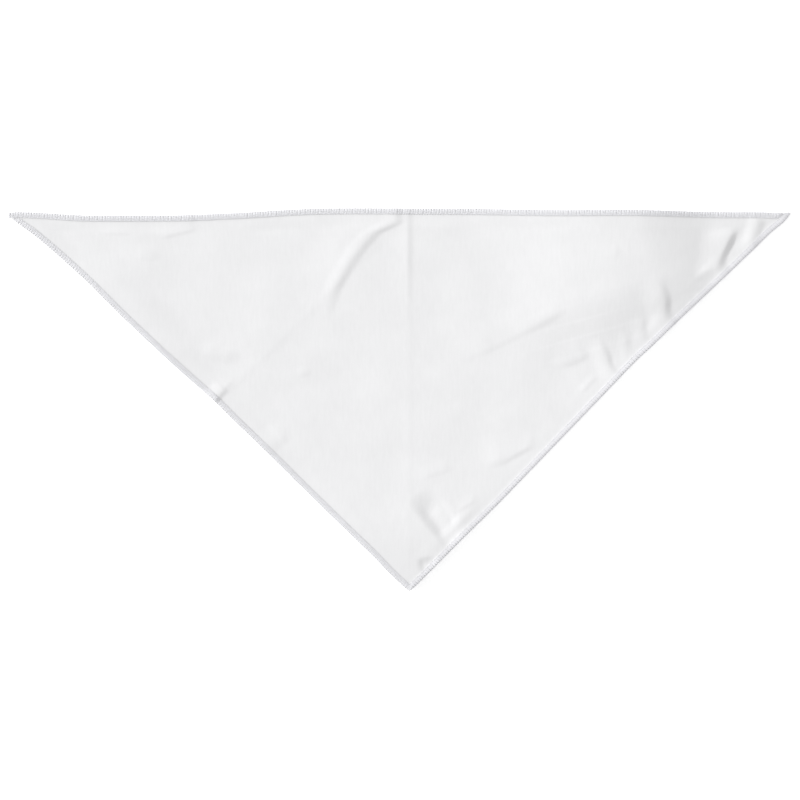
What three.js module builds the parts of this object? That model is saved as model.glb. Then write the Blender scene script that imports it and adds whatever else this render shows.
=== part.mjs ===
// A triangular neckerchief of white knitted polyester, unfolded and laid flat.
// Its three cut edges are overlocked. Each row of overlock stitching is a band that wraps the cloth's edge.
// Units are millimetres. +Z is up from the surface that it lies on, +X runs along the long edge to the
// right, and the apex points to -Y. The origin is the middle of the outline's box, on that surface.
import * as THREE from 'three';

// Driving sizes of the outline
const LONG_EDGE = 700;
const DEPTH = 338.5;
const APEX_SHIFT = 8.5; // the apex lies this far right of the long edge's middle
const RIGHT_TIP_DROP = 0.4;
const LONG_EDGE_Y = 167.4;

// Driving sizes of the cloth and its overlocked edge
const CLOTH_THICKNESS = 1;
const BAND_WIDTH = 5.5;
const BAND_WALL = 0.4;
const BAND_GAP = 0.3; // between the cloth and the stitching, all round
const HEM_LEVEL_WIDTH = 6; // the cloth stays level across the stitching
const HEM_FALL_WIDTH = 12; // then it comes down to the surface over this width
const HEM_HOLD_FADE = 16; // and the folds come level with it over this width

// Sizes worked out from those
const CUT_INSET = BAND_WALL + BAND_GAP; // from the outline in to the cloth's cut edge
const BAND_INNER = BAND_WIDTH - CUT_INSET; // from the cut edge in to the stitching's inner side
const BAND_HALF = CLOTH_THICKNESS / 2 + CUT_INSET;
const HEM_LIFT = CUT_INSET; // the stitching under the cloth holds it off the surface

// Fineness of the meshes
const PANEL_STEP = 60;
const HEM_STEP = 11;
const STEP_GROWTH = 0.5;
const BAND_STEP = 13;
const TIP_STEP = 7;
const TIP_REACH = 40;
const END_CLEARANCE = 1.5; // from a band's slanted end to its first square section
const FOLD_STEP = 9;
const STEP_PER_FOLD_WIDTH = 1.1;
const CREST_SEGMENTS = 10;
const BOW_FADE = 4; // an edge's bow fades towards the opposite corner by this power
const FOUND = 0.001; // how close a searched length has to come

// A table is its column names and then one row for each section or fold.
const table = (columns, ...rows) =>
  rows.map((row) => Object.fromEntries(columns.map((column, i) => [column, row[i]])));

// How far each cut edge bows out from the straight line between its corners, at shares of its length
const LONG_EDGE_BOW = table(
  ['share', 'out'],
  [0, 0], [0.01, 0.4], [0.02, 0], [0.035, 0.6], [0.1, 0.8], [0.2, 2.3],
  [0.3, 2.2], [0.4, 3.4], [0.54, 3.9], [0.6, 3.7], [0.65, 2.2], [0.7, 0],
  [0.78, -2.4], [0.86, -2.8], [0.91, -2.5], [0.955, -0.6], [0.985, 0.4], [1, 0],
);
const LEFT_EDGE_BOW = table(
  ['share', 'out'],
  [0, 0], [0.015, 1.5], [0.03, 0.9], [0.05, -0.6], [0.1, -2.2], [0.15, -3], [0.2, -3.1],
  [0.27, -2.1], [0.35, -2], [0.42, -2.4], [0.5, -3.7], [0.56, -3.1], [0.65, -2.6],
  [0.72, -1.7], [0.85, -0.8], [0.91, -0.5], [0.95, 0.5], [0.985, 0.5], [1, 0],
);
const RIGHT_EDGE_BOW = table(
  ['share', 'out'],
  [0, 0], [0.015, 0.5], [0.05, 0.5], [0.14, 0.2], [0.23, 0.4], [0.3, -0.2],
  [0.4, -1.3], [0.5, -2.4], [0.6, -3.6], [0.65, -2.9], [0.7, -2.7],
  [0.8, -1.5], [0.9, -0.5], [0.95, -0.4], [0.98, 0.9], [1, 0],
);

// Each fold is a ridge, or below zero a dent, that runs from (x0, y0) through (x1, y1) to (x2, y2). Seen from
// above by someone who walks along it, its sides reach out by `left` on the left and `right` on the right.
// It fades in over `start` and out over `end`. A sharp fold is a pressed crease with a pointed crest. The
// stiff stitching keeps the share `hem` of a fold's height.
const FOLDS = table(
  ['name', 'height', 'left', 'right', 'start', 'end', 'sharp', 'hem', 'x0', 'y0', 'x1', 'y1', 'x2', 'y2'],
  ['centre crease', 0.3, 12, 7, 40, 4, 1, 0.3, 8, -165, 7.8, 10, 7.6, 168],
  ['centre crease, top', 0.5, 24, 6, 80, 2, 1, 0.3, 7.2, 60, 7.2, 118, 7.2, 176],
  ['left crease', 0.3, 14, 7, 10, 60, 1, 0.3, -163, -1.5, -77, 83, 5, 166],
  ['left crease, notch', 0.6, 12, 7, 3, 18, 1, 0.3, -165, 1, -156, 11, -144, 23],
  ['right crease', 0.2, 14, 8, 20, 60, 1, 0.3, 180, -1, 94, 82, 9, 166],
  ['swoop', 1.1, 30, 8.5, 50, 8, 0, 0.3, -69, 66, -48.6, 120.3, 1, 175],
  ['shoulder crease', 0.4, 24, 7, 45, 18, 0, 0.3, 43, 33, 88, 51.5, 149, 84],
  ['top left line', 0.4, 18, 8, 14, 6, 0, 0.3, -218, 144.5, -200, 154.4, -183, 162.6],
  ['left edge swell', 1.2, 30, 40, 60, 60, 0, 1, -300, 137, -240, 80, -172, 12],
  ['left elbow', 0.5, 10, 9, 12, 14, 0, 0.3, -178, 50, -162, 41, -142, 39],
  ['left lower mound', 0.5, 16, 10, 14, 16, 0, 0.3, -128, -52, -112, -37, -96, -27],
  ['right swell', 5.8, 150, 72, 60, 2, 0, 1, 238, 52, 217, 130, 199, 225],
  ['right corner, deep', 1.8, 26, 8.5, 14, 28, 0, 0.3, 287, 98, 291.5, 133, 298, 168],
  ['right corner, outer', 0.9, 10, 8, 16, 5, 0, 0.3, 309, 128, 315, 146, 321, 164],
  ['right side, first', 1.2, 20, 8, 2, 24, 0, 0.3, 246, 52, 237.5, 82, 226, 112],
  ['right side, second', 0.8, 14, 7, 8, 18, 0, 0.3, 201, 8, 186, 34, 175, 57],
  ['right side, third', 0.4, 20, 7, 14, 10, 0, 0.3, 136, 33, 155, 36, 169, 45],
  ['lower right crease', 0.5, 24, 8, 18, 14, 0, 0.3, 72, -56.5, 98, -50, 129, -43],
  ['apex swell', 3, 130, 130, 90, 2, 0, 1, 5, -40, 7, -120, 10, -200],
  ['apex, dent', -2, 20, 10.5, 24, 20, 0, 0.3, 13, -84, 31, -107, 51, -131],
  ['apex, middle', 0.4, 8, 9, 14, 12, 0, 0.3, 28, -90, 37.5, -105, 50, -123],
  ['apex, rim', 0.8, 14, 7, 8, 40, 0, 0.3, 43, -131, 55, -120, 82, -93],
  ['apex, low', -0.9, 7, 11, 6, 8, 0, 0.3, 15.5, -148, 25, -146, 35, -144],
);

// Each row of stitching butts against the one before it and runs off past the cloth at its own end. It
// reaches that far past the cloth's corner, but no further past the next edge's outline than `spare`.
const CORNERS = {
  right: new THREE.Vector2(LONG_EDGE / 2, LONG_EDGE_Y - RIGHT_TIP_DROP),
  left: new THREE.Vector2(-LONG_EDGE / 2, LONG_EDGE_Y),
  apex: new THREE.Vector2(APEX_SHIFT, LONG_EDGE_Y - DEPTH),
};
const EDGES = [
  { name: 'overlock_long_edge', from: 'right', to: 'left', bow: LONG_EDGE_BOW, reach: 1.75, spare: 9 },
  { name: 'overlock_left_edge', from: 'left', to: 'apex', bow: LEFT_EDGE_BOW, reach: 0.7, spare: 0 },
  { name: 'overlock_right_edge', from: 'apex', to: 'right', bow: RIGHT_EDGE_BOW, reach: 1.7, spare: 0.6 },
];

// Where the pressed creases meet the outline, at shares of each edge's length
const CREASE_SHARE = { overlock_long_edge: 0.489, overlock_left_edge: 0.511, overlock_right_edge: 0.501 };

const WHITE_KNIT = new THREE.MeshStandardMaterial({ color: 0xf0f0f2, roughness: 0.62, metalness: 0 });
const WHITE_THREAD = new THREE.MeshStandardMaterial({ color: 0xe2e2e4, roughness: 0.5, metalness: 0 });

const smooth = (value, low, high) => THREE.MathUtils.smoothstep(value, low, high);

// A smooth curve through a table's rows: each row's slope is that of the line between its neighbours.
function through(rows, share) {
  const last = rows.length - 1;
  const x = THREE.MathUtils.clamp(share, rows[0].share, rows[last].share);
  let i = 0;
  while (i < last - 1 && x > rows[i + 1].share) i += 1;
  const slope = (k) => {
    const before = rows[Math.max(k - 1, 0)];
    const after = rows[Math.min(k + 1, last)];
    return (after.out - before.out) / (after.share - before.share);
  };
  const span = rows[i + 1].share - rows[i].share;
  const t = (x - rows[i].share) / span;
  const between = THREE.MathUtils.lerp(rows[i].out, rows[i + 1].out, t * t * (3 - 2 * t));
  const leaving = t * (1 - t) ** 2 * slope(i);
  const arriving = t * t * (1 - t) * slope(i + 1);
  return between + span * (leaving - arriving);
}

// The cut edges of the cloth lie inside the outline by CUT_INSET. Each edge gets its straight line's start,
// direction, length and inward side here.
function layOutCutEdges() {
  for (const edge of EDGES) {
    edge.along = CORNERS[edge.to].clone().sub(CORNERS[edge.from]).normalize();
    edge.inward = new THREE.Vector2(-edge.along.y, edge.along.x);
    edge.level = edge.inward.dot(CORNERS[edge.from]) + CUT_INSET;
  }
  EDGES.forEach((edge, i) => {
    const before = EDGES[(i + 2) % 3];
    const cross = before.inward.cross(edge.inward);
    edge.start = new THREE.Vector2(
      (before.level * edge.inward.y - edge.level * before.inward.y) / cross,
      (edge.level * before.inward.x - before.level * edge.inward.x) / cross,
    );
    edge.before = before;
    before.next = edge;
  });
  for (const edge of EDGES) edge.length = edge.start.distanceTo(edge.next.start);
}

const depthFrom = (edge, point) => edge.inward.dot(point) - edge.level;
const shareOf = (edge, point) => edge.along.dot(point.clone().sub(edge.start)) / edge.length;

// Moves a point of the straight-sided cloth to its place in the bowed one. An edge moves its own points by
// its bow, the opposite corner not at all, and what lies between by less and less.
function bowed(point) {
  const moved = point.clone();
  for (const edge of EDGES) {
    const height = depthFrom(edge, edge.before.start);
    const nearness = 1 - depthFrom(edge, point) / height;
    if (nearness <= 0) continue;
    const beyondStart = depthFrom(edge.before, point) / depthFrom(edge.before, edge.next.start);
    const share = THREE.MathUtils.clamp(beyondStart / nearness, 0, 1);
    moved.addScaledVector(edge.inward, -through(edge.bow, share) * Math.min(nearness, 1) ** BOW_FADE);
  }
  return moved;
}

// The crest of a fold, as a chain of points on the parabola through its three given ones
function crestOf(fold) {
  const start = new THREE.Vector2(fold.x0, fold.y0);
  const end = new THREE.Vector2(fold.x2, fold.y2);
  const handle = new THREE.Vector2(fold.x1, fold.y1).multiplyScalar(2).addScaledVector(start, -0.5);
  handle.addScaledVector(end, -0.5);
  return new THREE.QuadraticBezierCurve(start, handle, end).getPoints(CREST_SEGMENTS);
}

// The nearest place on a fold's crest: how far off it is, on which side, and how far along
function nearestOnCrest(fold, point) {
  let best = { distance: Infinity };
  let walked = 0;
  for (let i = 0; i < CREST_SEGMENTS; i += 1) {
    const a = fold.crest[i];
    const leg = fold.crest[i + 1].clone().sub(a);
    const length = leg.length();
    const offset = point.clone().sub(a);
    const t = THREE.MathUtils.clamp(offset.dot(leg) / length ** 2, 0, 1);
    const distance = offset.distanceTo(leg.clone().multiplyScalar(t));
    if (distance < best.distance) {
      best = { distance, along: walked + t * length, onLeft: leg.cross(offset) > 0 };
    }
    walked += length;
  }
  return best;
}

for (const fold of FOLDS) {
  fold.crest = crestOf(fold);
  fold.length = 0;
  for (let i = 0; i < CREST_SEGMENTS; i += 1) fold.length += fold.crest[i].distanceTo(fold.crest[i + 1]);
}

function foldHeight(fold, point) {
  const near = nearestOnCrest(fold, point);
  const u = near.distance / (near.onLeft ? fold.left : fold.right);
  if (u >= 1) return 0;
  const across = fold.sharp ? (1 - u) ** 2 : (1 - u * u) ** 2;
  const ends = smooth(near.along, 0, fold.start) * smooth(fold.length - near.along, 0, fold.end);
  return fold.height * across * ends;
}

// The height of the middle of the cloth over a point of the straight-sided cloth. Near an edge the folds
// are read further and further out, at the cut edge itself, so the cloth is level across the stitching.
function clothHeight(point) {
  const place = bowed(point);
  const readAt = place.clone();
  let onSurface = 1;
  const helds = [];
  for (const edge of EDGES) {
    const depth = depthFrom(edge, point);
    const held = 1 - smooth(depth, HEM_LEVEL_WIDTH, HEM_LEVEL_WIDTH + HEM_HOLD_FADE);
    onSurface *= smooth(depth, HEM_LEVEL_WIDTH, HEM_LEVEL_WIDTH + HEM_FALL_WIDTH);
    helds.push(held);
    if (held > 0) {
      const foot = bowed(point.clone().addScaledVector(edge.inward, -depth));
      readAt.addScaledVector(foot.sub(place), held);
    }
  }
  let height = CLOTH_THICKNESS / 2 + HEM_LIFT * (1 - onSurface);
  for (const fold of FOLDS) {
    const kept = helds.reduce((share, held) => share * (1 - (1 - fold.hem) * held), 1);
    height += kept * foldHeight(fold, readAt);
  }
  return height;
}

// The longest mesh edge that still follows the hem and the folds at a point of the straight-sided cloth.
// It grows gently away from them.
function meshStep(point) {
  const depth = Math.min(...EDGES.map((edge) => depthFrom(edge, point)));
  let step = Math.min(PANEL_STEP, HEM_STEP + STEP_GROWTH * Math.max(depth - HEM_LEVEL_WIDTH - HEM_STEP, 0));
  const finest = (width) => Math.max(FOLD_STEP, STEP_PER_FOLD_WIDTH * width);
  for (const fold of FOLDS) {
    const { distance } = nearestOnCrest(fold, point);
    const [narrow, wide] = [Math.min(fold.left, fold.right), Math.max(fold.left, fold.right)];
    step = Math.min(
      step,
      finest(narrow) + STEP_GROWTH * distance,
      finest(wide) + STEP_GROWTH * Math.max(distance - wide, 0),
    );
  }
  return step;
}

// Halves a triangle across its long side from a to b, again and again, until the long side is short enough
// there. The halves' long sides are its other two sides. As the step grows gently, neighbours agree.
function refine([a, b, c], keep) {
  const middle = a.clone().lerp(b, 0.5);
  if (a.distanceTo(b) <= meshStep(middle)) {
    keep([a, b, c]);
    return;
  }
  refine([c, a, middle], keep);
  refine([b, c, middle], keep);
}

function meshOf(name, positions, indices, material) {
  const geometry = new THREE.BufferGeometry();
  geometry.setAttribute('position', new THREE.Float32BufferAttribute(positions, 3));
  geometry.setIndex(indices);
  geometry.computeVertexNormals();
  const mesh = new THREE.Mesh(geometry, material);
  mesh.name = name;
  return mesh;
}

// The cloth's middle surface. Its first cuts follow the pressed creases: one from the long edge to the apex,
// and one from each leg to the same place on the long edge.
function middleSurface() {
  const [long, left, right] = EDGES;
  const at = (edge) => edge.start.clone().lerp(edge.next.start, CREASE_SHARE[edge.name]);
  const [top, low, high] = [at(long), at(left), at(right)];
  const quarters = [
    [top, left.start, low],
    [right.start, top, low],
    [top, right.start, high],
    [long.start, top, high],
  ];
  const numbers = new Map();
  const points = [];
  const faces = [];
  const numberOf = (point) => {
    const key = `${point.x.toFixed(5)},${point.y.toFixed(5)}`;
    if (!numbers.has(key)) {
      numbers.set(key, points.length);
      points.push(point);
    }
    return numbers.get(key);
  };
  for (const quarter of quarters) refine(quarter, (kept) => faces.push(kept.map(numberOf)));
  return { points, faces };
}

// The cloth: its middle surface moved half a thickness up and down along its normals, and closed round the
// cut edge. Where it lies flat, its underside is the surface that it lies on.
function clothPanel() {
  const { points, faces } = middleSurface();
  const placed = points.map((point) => {
    const place = bowed(point);
    return new THREE.Vector3(place.x, place.y, clothHeight(point));
  });
  const middle = meshOf('', placed.flatMap((p) => p.toArray()), faces.flat(), WHITE_KNIT);
  const normals = middle.geometry.attributes.normal;
  const walls = [1, -1].flatMap((side) => placed.flatMap((place, i) => {
    const normal = new THREE.Vector3().fromBufferAttribute(normals, i);
    return place.clone().addScaledVector(normal, (side * CLOTH_THICKNESS) / 2).toArray();
  }));
  const under = placed.length;
  const indices = faces.flatMap(([a, b, c]) => [a, b, c, c + under, b + under, a + under]);
  const open = new Map();
  for (const face of faces) {
    for (let i = 0; i < 3; i += 1) {
      const [a, b] = [face[i], face[(i + 1) % 3]];
      if (!open.delete(`${b},${a}`)) open.set(`${a},${b}`, [a, b]);
    }
  }
  for (const [a, b] of open.values()) indices.push(b, a, a + under, b, a + under, b + under);
  return meshOf('cloth_panel', walls, indices, WHITE_KNIT);
}

// A point of the stitching: `walked` along its edge's cut line, `depth` in from it, at its own height
function bandPoint(edge, walked, depth, rise) {
  const onCut = (distance) => {
    const point = edge.start.clone().addScaledVector(edge.along, distance);
    return point.addScaledVector(edge.inward, -through(edge.bow, distance / edge.length));
  };
  const ahead = onCut(walked + 1).sub(onCut(walked - 1)).normalize();
  const place = onCut(walked).add(new THREE.Vector2(-ahead.y, ahead.x).multiplyScalar(depth));
  const inside = THREE.MathUtils.clamp(walked, 0, edge.length);
  const level = clothHeight(edge.start.clone().addScaledVector(edge.along, inside));
  return new THREE.Vector3(place.x, place.y, level + rise);
}

// How far along its edge the stitching is, at a depth, where it is `wanted` in from another edge's cut line.
// It is less far in at `outer` and further in at `inner`.
function walkedTo(edge, depth, other, wanted, outer, inner) {
  let [out, within] = [outer, inner];
  while (Math.abs(out - within) > FOUND) {
    const middle = (out + within) / 2;
    const point = bandPoint(edge, middle, depth, 0);
    const flat = new THREE.Vector2(point.x, point.y);
    const inFrom = depthFrom(other, flat) + through(other.bow, shareOf(other, flat));
    if (inFrom < wanted) out = middle;
    else within = middle;
  }
  return within;
}

// The stitching's section wraps the cut edge: out over the top, round the edge and back underneath.
function bandSection() {
  const inside = BAND_HALF - BAND_WALL;
  return table(
    ['depth', 'rise'],
    [BAND_INNER, BAND_HALF], [-BAND_GAP, BAND_HALF], [-CUT_INSET, 0], [-BAND_GAP, -BAND_HALF],
    [BAND_INNER, -BAND_HALF], [BAND_INNER, -inside], [-BAND_GAP, -inside], [-BAND_GAP, inside],
    [BAND_INNER, inside],
  );
}

function overlockBand(edge) {
  const section = bandSection();
  const halfway = edge.length / 2;
  const farEnd = edge.length + edge.reach;
  const butt = section.map(({ depth }) => (
    walkedTo(edge, depth, edge.before, BAND_INNER + BAND_GAP, 0, halfway)));
  const runOff = section.map(({ depth }) => {
    const flush = walkedTo(edge, depth, edge.next, -CUT_INSET - edge.spare, farEnd + TIP_REACH, halfway);
    return Math.min(farEnd, flush);
  });
  const stations = [butt];
  const first = Math.max(...butt) + END_CLEARANCE;
  const last = Math.min(...runOff, edge.length) - END_CLEARANCE;
  for (let walked = first; walked < last;) {
    stations.push(section.map(() => walked));
    const point = edge.start.clone().addScaledVector(edge.along, walked);
    const nearTip = Math.min(walked, edge.length - walked) < TIP_REACH;
    walked += Math.min(meshStep(point), nearTip ? TIP_STEP : BAND_STEP);
  }
  stations.push(runOff);

  const positions = stations.flatMap((walks) => section.flatMap(({ depth, rise }, i) => (
    bandPoint(edge, walks[i], depth, rise).toArray())));
  const sides = section.length;
  const indices = [];
  for (let k = 0; k < stations.length - 1; k += 1) {
    for (let i = 0; i < sides; i += 1) {
      const [a, b] = [k * sides + i, k * sides + ((i + 1) % sides)];
      indices.push(a, b, a + sides, b, b + sides, a + sides);
    }
  }
  const outline = section.map(({ depth, rise }) => new THREE.Vector2(depth, rise));
  const end = (stations.length - 1) * sides;
  for (const [a, b, c] of THREE.ShapeUtils.triangulateShape(outline, [])) {
    indices.push(c, b, a, end + a, end + b, end + c);
  }
  return meshOf(edge.name, positions, indices, WHITE_THREAD);
}

layOutCutEdges();

const group = new THREE.Group();
group.add(clothPanel());
for (const edge of EDGES) group.add(overlockBand(edge));

export default group;
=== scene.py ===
"""A triangular neckerchief of white knitted polyester, unfolded and laid flat.

The cloth is one sheet with pressed creases and laid ripples. Each of its three cut edges carries a row of
three-thread overlock stitching. Sizes in this file are in millimetres unless a name or a unit says otherwise.
"""

import math

import bmesh
import bpy
import numpy as np
from bpy.props import FloatProperty, FloatVectorProperty, PointerProperty
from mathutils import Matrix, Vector


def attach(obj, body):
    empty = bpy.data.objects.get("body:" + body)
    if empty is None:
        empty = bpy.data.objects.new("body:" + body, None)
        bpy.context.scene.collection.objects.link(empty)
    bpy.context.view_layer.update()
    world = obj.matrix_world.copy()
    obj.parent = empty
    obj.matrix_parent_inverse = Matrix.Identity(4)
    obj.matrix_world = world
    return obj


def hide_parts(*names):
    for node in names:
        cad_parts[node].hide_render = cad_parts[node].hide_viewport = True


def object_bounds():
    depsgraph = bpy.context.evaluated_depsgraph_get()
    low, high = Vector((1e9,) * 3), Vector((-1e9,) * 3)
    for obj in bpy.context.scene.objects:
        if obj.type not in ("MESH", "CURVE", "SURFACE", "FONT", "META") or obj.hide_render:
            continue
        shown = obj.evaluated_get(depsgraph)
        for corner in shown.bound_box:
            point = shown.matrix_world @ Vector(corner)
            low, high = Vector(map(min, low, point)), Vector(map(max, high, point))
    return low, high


bl_info = {
    "name": "Neckerchief",
    "version": (1, 0, 0),
    "blender": (4, 5, 0),
    "location": "3D View > Sidebar > Neckerchief",
    "description": "Lays out a knitted neckerchief with overlocked edges",
    "category": "Add Mesh",
}

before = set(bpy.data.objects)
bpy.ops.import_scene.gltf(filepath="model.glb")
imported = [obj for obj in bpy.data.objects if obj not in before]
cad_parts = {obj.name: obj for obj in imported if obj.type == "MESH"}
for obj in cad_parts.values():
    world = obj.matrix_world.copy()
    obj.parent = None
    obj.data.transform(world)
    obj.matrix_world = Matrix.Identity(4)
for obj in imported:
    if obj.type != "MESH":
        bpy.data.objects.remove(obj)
CAD_BOX = [list(corner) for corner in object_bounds()]

MM = 0.001
BODY = "root"

# The outline's corners. The frame's box, in whole millimetres, says how far they reach
LOW_X, LOW_Y = (round(value / MM) for value in CAD_BOX[0][:2])
HIGH_X = round(CAD_BOX[1][0] / MM)
LONG_EDGE_Y = 167.4
RIGHT_CORNER_DROP = 0.4
APEX_X = 8.5
APEX_DROP = 0.1
CORNERS = {
    "right": (HIGH_X, LONG_EDGE_Y - RIGHT_CORNER_DROP),
    "left": (LOW_X, LONG_EDGE_Y),
    "apex": (APEX_X, LOW_Y - APEX_DROP),
}
CUT_INSET = 0.7  # from the outline in to the cut edge of the cloth
BAND_WIDTH = 5.5  # of the stitching, from the outline in

# The cloth lies level across the stitching, then comes down to the surface
HEM_LEVEL_WIDTH = 6
HEM_FALL_WIDTH = 12
HEM_HOLD_FADE = 16
HEM_CURL = 0.4  # how much higher the cloth lies at its cut edge than at the needle line
BOW_FADE = 4  # the power by which an edge's bow fades towards the opposite corner
LEAST_NEARNESS = 1e-9  # stands in for zero at the opposite corner, where it is divided by
CLOTH_CUTS = 299
CREST_SEGMENTS = 12

# How far each cut edge bows out from the straight line between its corners, at shares of its length
LONG_EDGE_BOW = (
    (0, 0), (0.01, 0.4), (0.02, 0), (0.035, 0.6), (0.1, 0.8), (0.2, 2.3),
    (0.3, 2.2), (0.4, 3.4), (0.54, 3.9), (0.6, 3.7), (0.65, 2.2), (0.7, 0),
    (0.78, -2.4), (0.86, -2.8), (0.91, -2.5), (0.955, -0.6), (0.985, 0.4), (1, 0),
)
LEFT_EDGE_BOW = (
    (0, 0), (0.015, 1.5), (0.03, 0.9), (0.05, -0.6), (0.1, -2.2), (0.15, -3), (0.2, -3.1),
    (0.27, -2.1), (0.35, -2), (0.42, -2.4), (0.5, -3.7), (0.56, -3.1), (0.65, -2.6),
    (0.72, -1.7), (0.85, -0.8), (0.91, -0.5), (0.95, 0.5), (0.985, 0.5), (1, 0),
)
RIGHT_EDGE_BOW = (
    (0, 0), (0.015, 0.5), (0.05, 0.5), (0.14, 0.2), (0.23, 0.4), (0.3, -0.2),
    (0.4, -1.3), (0.5, -2.4), (0.6, -3.6), (0.65, -2.9), (0.7, -2.7),
    (0.8, -1.5), (0.9, -0.5), (0.95, -0.4), (0.98, 0.9), (1, 0),
)

# Each fold is a ridge, or below zero a dent, that runs from (x0, y0) through (x1, y1) to (x2, y2). To someone
# who walks along it, its sides reach out by `left` on the left and `right` on the right. It fades in over
# `start` and out over `end`. A sharp fold is a pressed crease. The stitching keeps the share `hem` of its
# height, and where that is 1 the fold passes under the stitching as it is.
FOLD_COLUMNS = (
    "height", "left", "right", "start", "end", "sharp", "hem", "x0", "y0", "x1", "y1", "x2", "y2",
)
FOLDS = {
    "centre crease": (0.1, 12, 7, 40, 4, 1, 0.8, 8, -165, 7.8, 10, 7.6, 168),
    "centre crease, top": (0.42, 24, 5.5, 80, 2, 1, 0.9, 7.2, 60, 7.2, 118, 7.2, 176),
    "left crease": (0.1, 14, 7, 10, 60, 1, 0.6, -163, -1.5, -77, 83, 5, 166),
    "left crease, notch": (0.4, 14, 5, 3, 16, 1, 0.9, -163, 3, -156, 11, -146, 21.5),
    "left crease, pinch": (0.9, 12, 5, 1, 5, 0, 0.9, -170, -3.4, -164.8, 1.8, -160, 6.6),
    "right crease": (0.07, 14, 8, 20, 60, 1, 0.3, 180, -1, 94, 82, 9, 166),
    "swoop": (0.6, 40, 8.5, 50, 8, 0, 0.8, -69, 66, -48.6, 120.3, 1, 175),
    "swoop, ridge": (0.36, 9, 8.5, 50, 8, 0, 0.8, -69, 66, -48.6, 120.3, 1, 175),
    "shoulder crease": (0.25, 26, 6, 45, 20, 0, 0.3, 43, 33, 88, 51.5, 149, 84),
    "shoulder crease, end": (0.24, 12, 6, 24, 16, 0, 0.3, 100, 57, 127, 69, 149.5, 85),
    "shoulder crease, tick": (0.18, 10, 4, 6, 6, 0, 0.3, 191, 125, 192.5, 132, 194, 139),
    "top left line": (0.2, 14, 5, 12, 12, 0, 0.6, -270, 156.3, -254, 155, -239, 153),
    "top left line, rising": (0.3, 18, 6, 14, 4, 0, 0.8, -218, 144.5, -200, 154.4, -183, 162.6),
    "top left line, level": (0.17, 12, 5, 8, 8, 0, 0.3, -238, 128.5, -226, 128.5, -214, 128),
    "left edge swell": (1.2, 30, 40, 60, 60, 0, 1, -300, 137, -240, 80, -172, 12),
    "left elbow": (0.5, 10, 9, 12, 14, 0, 0.3, -178, 50, -162, 41, -142, 39),
    "left lower mound": (0.5, 16, 10, 14, 16, 0, 0.6, -128, -52, -112, -37, -96, -27),
    "left lower dash": (0.2, 8, 4, 5, 5, 0, 0.3, -92, 22, -85.5, 24, -79, 26),
    "right swell": (5.8, 150, 72, 60, 2, 0, 1, 238, 52, 217, 130, 199, 225),
    "right corner, deep": (1.8, 26, 8.5, 14, 28, 0, 0.9, 287, 98, 291.5, 133, 298, 168),
    "right corner, outer": (0.9, 10, 8, 16, 5, 0, 1, 309, 128, 315, 146, 321, 164),
    "right side, first": (1.2, 20, 8, 2, 24, 0, 0.9, 246, 52, 237.5, 82, 226, 112),
    "right side, near first": (0.35, 12, 6, 2, 12, 0, 0.8, 228, 36, 219, 59, 211, 76),
    "right side, between": (0.3, 10, 6, 2, 12, 0, 0.8, 213, 26, 204, 47, 197, 62),
    "right side, second": (0.8, 14, 6, 8, 18, 0, 0.9, 201, 8, 186, 34, 175, 57),
    "right side, third": (0.35, 20, 6, 14, 10, 0, 0.3, 136, 33, 155, 36, 169, 45),
    "right side, low": (0.27, 12, 5, 4, 8, 0, 0.4, 166, 2, 173, 10.5, 181, 20),
    "lower right crease": (0.5, 24, 8, 18, 14, 0, 0.8, 72, -56.5, 98, -50, 129, -43),
    "apex swell": (3, 130, 130, 90, 2, 0, 1, 5, -40, 7, -120, 10, -200),
    "apex, dent": (-2, 20, 10.5, 24, 20, 0, 1, 13, -84, 31, -107, 51, -131),
    "apex, middle": (0.4, 7, 9, 14, 12, 0, 0.9, 28, -90, 37.5, -105, 50, -123),
    "apex, rim": (0.6, 14, 5, 8, 40, 0, 0.9, 43, -131, 55, -120, 82, -93),
    "apex, low": (-0.9, 7, 11, 6, 8, 0, 1, 15.5, -148, 25, -146, 35, -144),
    "apex, patch": (0.3, 12, 5, 8, 8, 0, 0.3, 51, -99.5, 61.7, -95.8, 73, -91),
    "apex, faint line": (0.2, 12, 5, 10, 10, 0, 0.3, 16, -69, 31, -64.5, 48, -59.5),
}

# Broad, low waves in the cloth: the way that each runs in degrees, its length, and half its height
WAVES = ((20, 96, 0.12), (75, 71, 0.09), (128, 133, 0.14), (163, 58, 0.06), (101, 39, 0.035))

# A row of stitching, over one stitch: the share of the stitch's length along the edge, the share of the way
# from the outer side to the needle line, and the height, where 1 is a thread lying on the cloth
UPPER_LOOP = (
    (0.10, 1.00, 0.40), (0.20, 0.90, 0.75), (0.28, 0.55, 1.10), (0.31, 0.24, 1.00), (0.33, 0.08, 0.60),
    (0.38, 0.00, 0.12), (0.62, 0.00, 0.12),
    (0.67, 0.08, 0.60), (0.69, 0.24, 1.00), (0.72, 0.55, 1.10), (0.80, 0.90, 0.75), (0.90, 1.00, 0.40),
)
NEEDLE_LINE = (
    (0.00, 0.95, -1.05), (0.06, 0.95, 0.30), (0.18, 0.95, 0.80), (0.82, 0.95, 0.80), (0.94, 0.95, 0.30),
)
LOWER_LOOP_PHASE = 0.5  # in stitches
THREAD_STANDS = 0.8  # the share of its half height that a thread lying on the cloth stands off it
TUBE_SIDES = 8
STITCH_JITTER = 0.05  # in stitches
SEED = 7

# The knit and the thread: what their materials draw, and how large
WALE_WIDTH = 0.8
COURSE_HEIGHT = 0.6
LOOP_SLANT = 1.4
LOOP_RELIEF = 0.12
GRAIN_WIDTH = 2.4  # really as fine as the wales, and drawn wider so that it shows
GRAIN_LENGTH = 14
GRAIN_RELIEF = 0.1
CLOUD_SIZE = 30
FILAMENT_SIZE = 0.25
FILAMENT_RELIEF = 0.1

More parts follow.
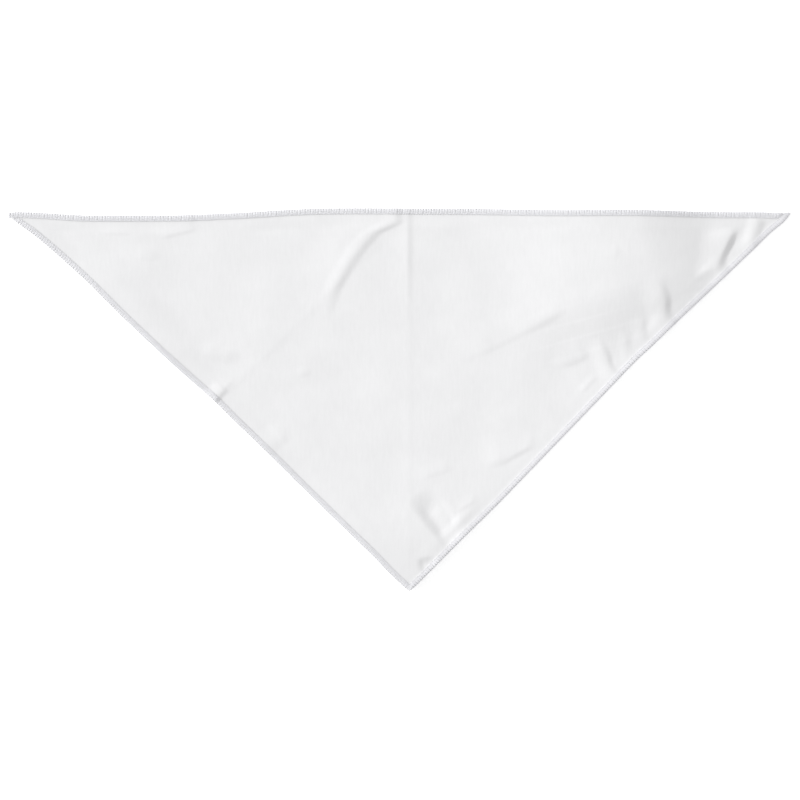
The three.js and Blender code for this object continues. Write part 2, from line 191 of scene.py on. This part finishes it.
# The camera looks straight down, and its picture is this wide on the surface
PICTURE_WIDTH = 715.2
CAMERA_HEIGHT = 2500
CAMERA_Y = -0.2
SENSOR_WIDTH = 36

# The floor's top lies just under the part, and the key light stands low beyond the upper left
FLOOR_SIZE = 8000
FLOOR_DROP = 0.1
FLOOR_GLOW = 0.3
SKY_STRENGTH = 0.75
KEY_POWER = 1810
KEY_CONE = 13  # degrees across, and soft all the way
KEY_RADIUS = 500
KEY_DISTANCE = 4000
KEY_ELEVATION = 18
KEY_HEADING = 155  # degrees from +X towards +Y
KEY_AIM = (-25, 92)


def linear(hex_colour):
    """Turns an sRGB hex colour into linear values, with full opacity"""
    parts = [int(hex_colour[i:i + 2], 16) / 255 for i in (1, 3, 5)]
    turned = [part / 12.92 if part <= 0.04045 else ((part + 0.055) / 1.055) ** 2.4 for part in parts]
    return (*turned, 1.0)


class NeckerchiefSizes(bpy.types.PropertyGroup):
    cloth_thickness: FloatProperty(
        name="Cloth thickness",
        description="Thickness of the knitted cloth",
        default=0.6 * MM, min=0.2 * MM, max=1.5 * MM, precision=5, unit="LENGTH",
    )
    looper_width: FloatProperty(
        name="Looper width",
        description="Width that the soft threads round the cut edge spread to",
        default=1.2 * MM, min=0.2 * MM, max=1.5 * MM, precision=5, unit="LENGTH",
    )
    looper_height: FloatProperty(
        name="Looper height",
        description="Height of those threads on the cloth",
        default=0.45 * MM, min=0.2 * MM, max=0.7 * MM, precision=5, unit="LENGTH",
    )
    needle_thread: FloatProperty(
        name="Needle thread",
        description="Diameter of the thread along the inner side of the stitching",
        default=0.36 * MM, min=0.2 * MM, max=0.7 * MM, precision=5, unit="LENGTH",
    )
    stitch_length: FloatProperty(
        name="Stitch length",
        description="Distance from one overlock stitch to the next",
        default=2.35 * MM, min=1.5 * MM, max=4 * MM, precision=5, unit="LENGTH",
    )


class NeckerchiefColours(bpy.types.PropertyGroup):
    cloth: FloatVectorProperty(
        name="Cloth",
        description="Colour of the knitted polyester",
        default=linear("#E4E4E5"), size=4, min=0, max=1, subtype="COLOR",
    )
    thread: FloatVectorProperty(
        name="Thread",
        description="Colour of the overlock threads",
        default=linear("#E1E1E4"), size=4, min=0, max=1, subtype="COLOR",
    )
    floor: FloatVectorProperty(
        name="Floor",
        description="Colour of the pale floor",
        default=linear("#FAFAFA"), size=4, min=0, max=1, subtype="COLOR",
    )


def smooth(value, low, high):
    share = np.clip((value - low) / (high - low), 0, 1)
    return share * share * (3 - 2 * share)


def through(rows, share):
    """A smooth curve through the rows, whose slope at each is that of the line between its neighbours"""
    shares, outs = np.array(rows, float).T
    last = len(rows) - 1
    before = np.maximum(np.arange(last + 1) - 1, 0)
    after = np.minimum(np.arange(last + 1) + 1, last)
    slopes = (outs[after] - outs[before]) / (shares[after] - shares[before])
    share = np.clip(share, 0, 1)
    i = np.clip(np.searchsorted(shares, share, side="right") - 1, 0, last - 1)
    span = shares[i + 1] - shares[i]
    t = (share - shares[i]) / span
    between = outs[i] + (outs[i + 1] - outs[i]) * t * t * (3 - 2 * t)
    leaving = t * (1 - t) ** 2 * slopes[i]
    arriving = t * t * (1 - t) * slopes[i + 1]
    return between + span * (leaving - arriving)


class CutEdge:
    """One side of the cloth as it was cut: a straight line, the bow that it has taken and its stitching

    The stitching butts against the row before it. It runs past the cloth's corner by `reach`, but no
    further past the next edge's outline than `spare`.
    """

    def __init__(self, node, start, end, bow, reach, spare):
        start, end = np.array(CORNERS[start]), np.array(CORNERS[end])
        self.node = node
        self.stitching = node.replace("overlock", "stitching")
        self.bow = bow
        self.reach = reach
        self.spare = spare
        self.along = (end - start) / np.linalg.norm(end - start)
        self.inward = np.array((-self.along[1], self.along[0]))
        self.level = self.inward @ start + CUT_INSET

    def depth(self, points):
        return points @ self.inward - self.level

    def on_line(self, walked):
        return self.start + np.multiply.outer(walked, self.along)

    def on_cut(self, walked):
        return self.on_line(walked) - np.multiply.outer(through(self.bow, walked / self.length), self.inward)

    def depth_in_bow(self, points):
        share = (points - self.start) @ self.along / self.length
        return self.depth(points) + through(self.bow, share)


def lay_out_edges():
    edges = [
        CutEdge("overlock_long_edge", "right", "left", LONG_EDGE_BOW, reach=1.75, spare=9),
        CutEdge("overlock_left_edge", "left", "apex", LEFT_EDGE_BOW, reach=0.7, spare=0),
        CutEdge("overlock_right_edge", "apex", "right", RIGHT_EDGE_BOW, reach=1.7, spare=0.6),
    ]
    for before, edge in zip(edges[-1:] + edges, edges):
        sides = np.array((before.inward, edge.inward))
        edge.start = np.linalg.solve(sides, (before.level, edge.level))
        edge.before = before
        before.next = edge
    for edge in edges:
        edge.length = np.linalg.norm(edge.next.start - edge.start)
    return edges


EDGES = lay_out_edges()


def bowed(points):
    """Moves points of the straight-sided cloth to their places in the bowed one

    An edge moves its own points by its bow, the opposite corner not at all, and what lies between by less
    and less.
    """
    moved = points.copy()
    for edge in EDGES:
        height = edge.depth(edge.before.start)
        nearness = np.maximum(1 - edge.depth(points) / height, LEAST_NEARNESS)
        beyond_start = edge.before.depth(points) / edge.before.depth(edge.next.start)
        share = np.clip(beyond_start / nearness, 0, 1)
        moved -= np.outer(through(edge.bow, share) * np.minimum(nearness, 1) ** BOW_FADE, edge.inward)
    return moved


def crest_of(fold):
    """The crest of a fold, as a chain of points on the parabola through its three given ones"""
    start, middle, end = (np.array((fold[f"x{i}"], fold[f"y{i}"]), float) for i in range(3))
    handle = 2 * middle - (start + end) / 2
    t = np.linspace(0, 1, CREST_SEGMENTS + 1)[:, None]
    return (1 - t) ** 2 * start + 2 * t * (1 - t) * handle + t * t * end


def one_fold(fold, points):
    """The height that one fold gives at the points"""
    crest = crest_of(fold)
    distance = np.full(len(points), np.inf)
    along = np.zeros(len(points))
    on_left = np.zeros(len(points), bool)
    walked = 0
    for a, b in zip(crest[:-1], crest[1:]):
        leg = b - a
        length = np.linalg.norm(leg)
        offset = points - a
        t = np.clip(offset @ leg / length ** 2, 0, 1)
        away = np.linalg.norm(offset - np.outer(t, leg), axis=1)
        nearer = away < distance
        distance[nearer] = away[nearer]
        along[nearer] = walked + t[nearer] * length
        on_left[nearer] = (leg[0] * offset[:, 1] - leg[1] * offset[:, 0])[nearer] > 0
        walked += length
    u = np.minimum(distance / np.where(on_left, fold["left"], fold["right"]), 1)
    across = (1 - u) ** 2 if fold["sharp"] else (1 - u * u) ** 2
    ends = smooth(along, 0, fold["start"]) * smooth(walked - along, 0, fold["end"])
    return fold["height"] * across * ends


def cloth_height(points, sizes):
    """The height of the middle of the cloth over points of the straight-sided cloth

    Towards an edge the folds and waves are read further and further out, on the cut edge itself, so the
    cloth is level across the stitching. Only a fold whose `hem` is 1 is read at its own place.
    """
    place = bowed(points)
    read_at = place.copy()
    on_surface = np.ones(len(points))
    curl = np.zeros(len(points))
    holds = []
    for edge in EDGES:
        depth = edge.depth(points)
        held = 1 - smooth(depth, HEM_LEVEL_WIDTH, HEM_LEVEL_WIDTH + HEM_HOLD_FADE)
        on_surface *= smooth(depth, HEM_LEVEL_WIDTH, HEM_LEVEL_WIDTH + HEM_FALL_WIDTH)
        curl = np.maximum(curl, HEM_CURL * np.clip(1 - depth / BAND_WIDTH, 0, 1))
        foot = bowed(points - np.outer(depth, edge.inward))
        read_at += (foot - place) * held[:, None]
        holds.append(held)
    height = np.zeros(len(points))
    for row in FOLDS.values():
        fold = dict(zip(FOLD_COLUMNS, row))
        kept = np.prod([1 - (1 - fold["hem"]) * held for held in holds], axis=0)
        height += kept * one_fold(fold, place if fold["hem"] == 1 else read_at)
    for heading, wave_length, wave_height in WAVES:
        way = np.array((math.cos(math.radians(heading)), math.sin(math.radians(heading))))
        turn = 2 * math.pi * (read_at @ way) / wave_length
        phase = heading  # any value will do that differs from wave to wave
        height += on_surface * wave_height * (1 + np.sin(turn + phase))
    lift = sizes.looper_height / MM * (1 - on_surface)
    return sizes.cloth_thickness / MM / 2 + lift + curl + height


def show(mesh, name, material, node):
    """Puts a finished mesh in the scene in the place of its node"""
    mesh.polygons.foreach_set("use_smooth", np.ones(len(mesh.polygons), bool))
    mesh.materials.append(material)
    piece = bpy.data.objects.new(name, mesh)
    bpy.context.scene.collection.objects.link(piece)
    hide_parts(node)
    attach(piece, BODY)
    return piece


def add_node(tree, kind, settings=None, links=None):
    """Adds a node, sets its properties and sockets, and links other nodes' outputs to its inputs"""
    node = tree.nodes.new(kind)
    for name, value in (settings or {}).items():
        if hasattr(node, name):
            setattr(node, name, value)
        else:
            node.inputs[name].default_value = value
    for name, output in (links or {}).items():
        tree.links.new(output, node.inputs[name])
    return node


def calculate(tree, operation, *terms):
    """The result of one operation on the terms, each a number or the output of another node"""
    node = add_node(tree, "ShaderNodeMath", {"operation": operation})
    for socket, term in zip(node.inputs, terms):
        if isinstance(term, bpy.types.NodeSocket):
            tree.links.new(term, socket)
        else:
            socket.default_value = term
    return node.outputs[0]


def tint(tree, colour, shade):
    """The colour, made lighter or darker by the shade"""
    node = add_node(tree, "ShaderNodeVectorMath", {"operation": "SCALE"}, {"Scale": shade.outputs["Result"]})
    node.inputs[0].default_value = colour[:3]
    return node.outputs[0]


def new_material(name):
    material = bpy.data.materials.new(name)
    material.use_nodes = True
    material.node_tree.nodes.clear()
    return material, material.node_tree


def knitted_polyester(colours):
    """Interlock knit of bright polyester yarn, washed and pressed

    Its fine upright wales give a soft, faintly glossy face with a slight upright grain.
    """
    material, tree = new_material("knitted_polyester_interlock")
    uv = add_node(tree, "ShaderNodeUVMap", {"uv_map": "cut"})
    parts = add_node(tree, "ShaderNodeSeparateXYZ", links={"Vector": uv.outputs["UV"]})

    # Each loop is a small V, one wale wide and one course high
    wale = calculate(tree, "MULTIPLY", parts.outputs["X"], 1 / (WALE_WIDTH * MM))
    course = calculate(tree, "MULTIPLY", parts.outputs["Y"], 1 / (COURSE_HEIGHT * MM))
    across = calculate(tree, "PINGPONG", wale, 0.5)
    slanted = calculate(tree, "MULTIPLY_ADD", across, LOOP_SLANT, course)
    leg = calculate(tree, "PINGPONG", slanted, 0.5)
    loop = calculate(tree, "MULTIPLY", leg, across)
    knit = add_node(tree, "ShaderNodeBump", {"Strength": 0.5, "Distance": LOOP_RELIEF * MM}, {"Height": loop})

    # An upright grain runs along the wales
    stretched = add_node(
        tree, "ShaderNodeMapping", {"Scale": (1 / (GRAIN_WIDTH * MM), 1 / (GRAIN_LENGTH * MM), 1)},
        {"Vector": uv.outputs["UV"]})
    grain = add_node(
        tree, "ShaderNodeTexNoise", {"Scale": 1, "Detail": 3, "Roughness": 0.6},
        {"Vector": stretched.outputs["Vector"]})
    grained = add_node(
        tree, "ShaderNodeBump", {"Strength": 0.28, "Distance": GRAIN_RELIEF * MM},
        {"Height": grain.outputs["Fac"], "Normal": knit.outputs["Normal"]})

    # The dye and the pressing leave slight clouds
    clouds = add_node(
        tree, "ShaderNodeTexNoise", {"Scale": 1 / (CLOUD_SIZE * MM), "Detail": 4, "Roughness": 0.55},
        {"Vector": uv.outputs["UV"]})
    both = calculate(tree, "ADD", clouds.outputs["Fac"], grain.outputs["Fac"])
    shade = add_node(
        tree, "ShaderNodeMapRange", {"From Min": 0.6, "From Max": 1.4, "To Min": 0.97, "To Max": 1.03},
        {"Value": both})
    roughness = add_node(
        tree, "ShaderNodeMapRange", {"To Min": 0.5, "To Max": 0.6}, {"Value": grain.outputs["Fac"]})
    shader = add_node(
        tree, "ShaderNodeBsdfPrincipled",
        {"IOR": 1.5, "Specular IOR Level": 0.4, "Sheen Weight": 0.08, "Sheen Roughness": 0.4},
        {"Base Color": tint(tree, colours.cloth, shade), "Roughness": roughness.outputs["Result"],
         "Normal": grained.outputs["Normal"]})
    add_node(tree, "ShaderNodeOutputMaterial", links={"Surface": shader.outputs["BSDF"]})
    return material


def overlock_polyester(colours):
    """Textured polyester overlock thread, loosely twisted

    Its crimped filaments scatter light, so it is soft and dull, and a little greyer than the cloth.
    """
    material, tree = new_material("textured_polyester_thread")
    place = add_node(tree, "ShaderNodeTexCoord")
    filaments = add_node(
        tree, "ShaderNodeTexNoise", {"Scale": 1 / (FILAMENT_SIZE * MM), "Detail": 2, "Roughness": 0.6},
        {"Vector": place.outputs["Object"]})
    bump = add_node(
        tree, "ShaderNodeBump", {"Strength": 0.5, "Distance": FILAMENT_RELIEF * MM},
        {"Height": filaments.outputs["Fac"]})
    shade = add_node(
        tree, "ShaderNodeMapRange", {"From Min": 0.3, "From Max": 0.7, "To Min": 0.94, "To Max": 1.04},
        {"Value": filaments.outputs["Fac"]})
    shader = add_node(
        tree, "ShaderNodeBsdfPrincipled",
        {"IOR": 1.5, "Roughness": 0.65, "Specular IOR Level": 0.35, "Sheen Weight": 0.1},
        {"Base Color": tint(tree, colours.thread, shade), "Normal": bump.outputs["Normal"]})
    add_node(tree, "ShaderNodeOutputMaterial", links={"Surface": shader.outputs["BSDF"]})
    return material


class NECKERCHIEF_OT_cloth(bpy.types.Operator):
    """Cut the triangle of knitted cloth and lay it down with its creases and ripples"""

    bl_idname = "neckerchief.cloth"
    bl_label = "Cloth"

    def execute(self, context):
        sizes = context.scene.neckerchief_sizes
        mesh = bpy.data.meshes.new("cloth_sheet")
        shaping = bmesh.new()
        shaping.faces.new([shaping.verts.new((*edge.start, 0)) for edge in EDGES])
        bmesh.ops.subdivide_edges(shaping, edges=shaping.edges[:], cuts=CLOTH_CUTS, use_grid_fill=True)
        shaping.to_mesh(mesh)
        shaping.free()

        flat = np.empty((len(mesh.vertices), 3))
        mesh.vertices.foreach_get("co", flat.ravel())
        flat = flat[:, :2]
        corner_vertices = np.empty(len(mesh.loops), int)
        mesh.loops.foreach_get("vertex_index", corner_vertices)
        cut_map = mesh.uv_layers.new(name="cut")
        cut_map.data.foreach_set("uv", (flat[corner_vertices] * MM).ravel())

        laid = np.column_stack((bowed(flat), cloth_height(flat, sizes)))
        mesh.vertices.foreach_set("co", (laid * MM).ravel())
        material = knitted_polyester(context.scene.neckerchief_colours)
        cloth = show(mesh, "cloth", material, "cloth_panel")
        wall = cloth.modifiers.new("wall", "SOLIDIFY")
        wall.thickness = sizes.cloth_thickness
        wall.offset = 0
        return {"FINISHED"}


def stitched(edge, rows, phase, stations, sizes):
    """The points of one thread of a row of stitching, and the way out of the cloth at each"""
    half_width = sizes.looper_width / MM / 2
    half_height = sizes.looper_height / MM / 2
    outer = half_height - CUT_INSET
    needle_depth = BAND_WIDTH - CUT_INSET - half_width
    along, share, rise = np.array(rows).T
    pitch = np.gradient(stations)[:, None]
    walked = (stations[:, None] + (along + phase) * pitch).ravel()
    share = np.tile(share, len(stations))
    rise = np.tile(rise, len(stations))

    cut = edge.on_cut(walked)
    ahead = edge.on_cut(walked + 1) - edge.on_cut(walked - 1)
    ahead /= np.linalg.norm(ahead, axis=1)[:, None]
    side = np.column_stack((-ahead[:, 1], ahead[:, 0]))

    inner = np.full(len(walked), needle_depth)
    past_band = BAND_WIDTH - CUT_INSET + half_width
    past_end = half_width - CUT_INSET - edge.spare
    for other, least in ((edge.before, past_band), (edge.next, past_end)):
        beyond = other.depth_in_bow(cut) - least
        narrowing = -side @ other.inward
        inner = np.minimum(inner, np.where(narrowing > 0, beyond / narrowing, inner))
    depth = outer + share * (inner - outer)

    place = cut + side * depth[:, None]
    below = edge.on_line(np.clip(walked, 0, edge.length)) + np.outer(np.maximum(depth, 0), edge.inward)
    level = cloth_height(below, sizes)
    on_cloth = sizes.cloth_thickness / MM / 2 + half_height * THREAD_STANDS
    kept = inner > outer + half_width
    outward = -side * np.maximum(1 - np.abs(rise), 0)[:, None]
    way_out = np.column_stack((outward, np.clip(rise, -1, 1)))
    return np.column_stack((place, level + rise * on_cloth))[kept], way_out[kept]


def tube(points, way_out, width, height):
    """The corners and faces of an oval tube round a line of points, with closed ends"""
    ahead = np.gradient(points, axis=0)
    across = np.cross(way_out, ahead)
    across /= np.linalg.norm(across, axis=1)[:, None]
    out = np.cross(ahead, across)
    out /= np.linalg.norm(out, axis=1)[:, None]
    turn = 2 * math.pi * np.arange(TUBE_SIDES) / TUBE_SIDES
    flat = across[:, None] * (np.cos(turn) * width / 2)[:, None]
    tall = out[:, None] * (np.sin(turn) * height / 2)[:, None]
    corners = (points[:, None] + flat + tall).reshape(-1, 3)

    ring = TUBE_SIDES * np.arange(len(points) - 1)[:, None]
    here = np.arange(TUBE_SIDES)
    there = np.roll(here, -1)
    sides = np.stack((ring + here, ring + there, ring + there + TUBE_SIDES, ring + here + TUBE_SIDES), axis=2)
    ends = [here[::-1].tolist(), (here + len(corners) - TUBE_SIDES).tolist()]
    return corners, sides.reshape(-1, 4).tolist() + ends


def overlock(edge, sizes, material, random):
    """A row of three-thread overlock along one cut edge"""
    pitch = sizes.stitch_length / MM
    count = round((edge.length + edge.reach) / pitch)
    stations = np.linspace(0, edge.length + edge.reach, count + 1)[:-1]
    stations = stations + random.uniform(-STITCH_JITTER, STITCH_JITTER, count) * pitch
    lower_loop = [(along, share, -rise) for along, share, rise in UPPER_LOOP]
    width = sizes.looper_width / MM
    height = sizes.looper_height / MM
    needle_thread = sizes.needle_thread / MM
    needle_points = stitched(edge, NEEDLE_LINE, 0, stations, sizes)[0]
    tubes = [
        tube(*stitched(edge, UPPER_LOOP, 0, stations, sizes), width, height),
        tube(*stitched(edge, lower_loop, LOWER_LOOP_PHASE, stations[:-1], sizes), width, height),
        tube(needle_points, np.full(needle_points.shape, (0, 0, 1)), needle_thread, needle_thread),
    ]
    corners = []
    faces = []
    for tube_corners, tube_faces in tubes:
        faces += [[len(corners) + corner for corner in face] for face in tube_faces]
        corners += (tube_corners * MM).tolist()
    mesh = bpy.data.meshes.new(edge.stitching)
    mesh.from_pydata(corners, [], faces)
    show(mesh, edge.stitching, material, edge.node)


class NECKERCHIEF_OT_overlock(bpy.types.Operator):
    """Stitch a row of three-thread overlock round each cut edge of the cloth"""

    bl_idname = "neckerchief.overlock"
    bl_label = "Overlocked edges"

    def execute(self, context):
        material = overlock_polyester(context.scene.neckerchief_colours)
        random = np.random.default_rng(SEED)
        for edge in EDGES:
            overlock(edge, context.scene.neckerchief_sizes, material, random)
        return {"FINISHED"}


class NECKERCHIEF_OT_stage(bpy.types.Operator):
    """Lay the pale floor, and set up the soft daylight and the camera"""

    bl_idname = "neckerchief.stage"
    bl_label = "Stage"

    def execute(self, context):
        scene = context.scene
        shaping = bmesh.new()
        bmesh.ops.create_grid(shaping, x_segments=1, y_segments=1, size=FLOOR_SIZE * MM / 2)
        bmesh.ops.translate(shaping, verts=shaping.verts, vec=(0, 0, -FLOOR_DROP * MM))
        mesh = bpy.data.meshes.new("floor")
        shaping.to_mesh(mesh)
        shaping.free()
        floor = bpy.data.objects.new("floor", mesh)
        scene.collection.objects.link(floor)
        material, tree = new_material("pale_studio_floor")
        shader = add_node(
            tree, "ShaderNodeBsdfPrincipled",
            {"Base Color": scene.neckerchief_colours.floor, "Roughness": 0.9, "Specular IOR Level": 0.1,
             "Emission Color": (1, 1, 1, 1), "Emission Strength": FLOOR_GLOW})
        add_node(tree, "ShaderNodeOutputMaterial", links={"Surface": shader.outputs["BSDF"]})
        mesh.materials.append(material)

        world = bpy.data.worlds.new("soft_daylight")
        world.use_nodes = True
        world.node_tree.nodes["Background"].inputs["Strength"].default_value = SKY_STRENGTH
        world.node_tree.nodes["Background"].inputs["Color"].default_value = (1, 1, 1, 1)
        scene.world = world

        light = bpy.data.lights.new("key_light", "SPOT")
        light.energy = KEY_POWER
        light.spot_size = math.radians(KEY_CONE)
        light.spot_blend = 1
        light.shadow_soft_size = KEY_RADIUS * MM
        key = bpy.data.objects.new("key_light", light)
        heading = math.radians(KEY_HEADING)
        elevation = math.radians(KEY_ELEVATION)
        level = math.cos(elevation)
        towards = Vector((level * math.cos(heading), level * math.sin(heading), math.sin(elevation)))
        key.location = (Vector((*KEY_AIM, 0)) + towards * KEY_DISTANCE) * MM
        key.rotation_euler = towards.to_track_quat("Z", "Y").to_euler()
        scene.collection.objects.link(key)

        lens = bpy.data.cameras.new("camera")
        lens.sensor_width = SENSOR_WIDTH
        lens.lens = SENSOR_WIDTH * CAMERA_HEIGHT / PICTURE_WIDTH
        camera = bpy.data.objects.new("camera", lens)
        camera.location = (0, CAMERA_Y * MM, CAMERA_HEIGHT * MM)
        scene.collection.objects.link(camera)
        scene.camera = camera
        scene.view_settings.view_transform = "Standard"
        return {"FINISHED"}


class NECKERCHIEF_PT_panel(bpy.types.Panel):
    """Sizes, colours and pieces of the neckerchief"""

    bl_idname = "NECKERCHIEF_PT_panel"
    bl_label = "Neckerchief"
    bl_space_type = "VIEW_3D"
    bl_region_type = "UI"
    bl_category = "Neckerchief"

    def draw(self, context):
        column = self.layout.column()
        for group in (context.scene.neckerchief_sizes, context.scene.neckerchief_colours):
            for name in group.__annotations__:
                column.prop(group, name)
        for operator in OPERATORS:
            column.operator(operator.bl_idname)


PROPERTY_GROUPS = {"neckerchief_sizes": NeckerchiefSizes, "neckerchief_colours": NeckerchiefColours}
OPERATORS = (NECKERCHIEF_OT_cloth, NECKERCHIEF_OT_overlock, NECKERCHIEF_OT_stage)


def register():
    for kind in (*PROPERTY_GROUPS.values(), *OPERATORS, NECKERCHIEF_PT_panel):
        bpy.utils.register_class(kind)
    for name, group in PROPERTY_GROUPS.items():
        setattr(bpy.types.Scene, name, PointerProperty(type=group))


def unregister():
    for name in PROPERTY_GROUPS:
        delattr(bpy.types.Scene, name)
    for kind in (NECKERCHIEF_PT_panel, *reversed(OPERATORS), *PROPERTY_GROUPS.values()):
        bpy.utils.unregister_class(kind)


def declare_cloth():
    """Finds the long edge and the cloth's depth from it to the apex, and leaves both unused"""
    long_edge = EDGES[0]
    depth = float(long_edge.depth(long_edge.before.start))


def main():
    register()
    bpy.ops.neckerchief.cloth()
    bpy.ops.neckerchief.overlock()
    bpy.ops.neckerchief.stage()
    declare_cloth()


if __name__ == "__main__":
    main()
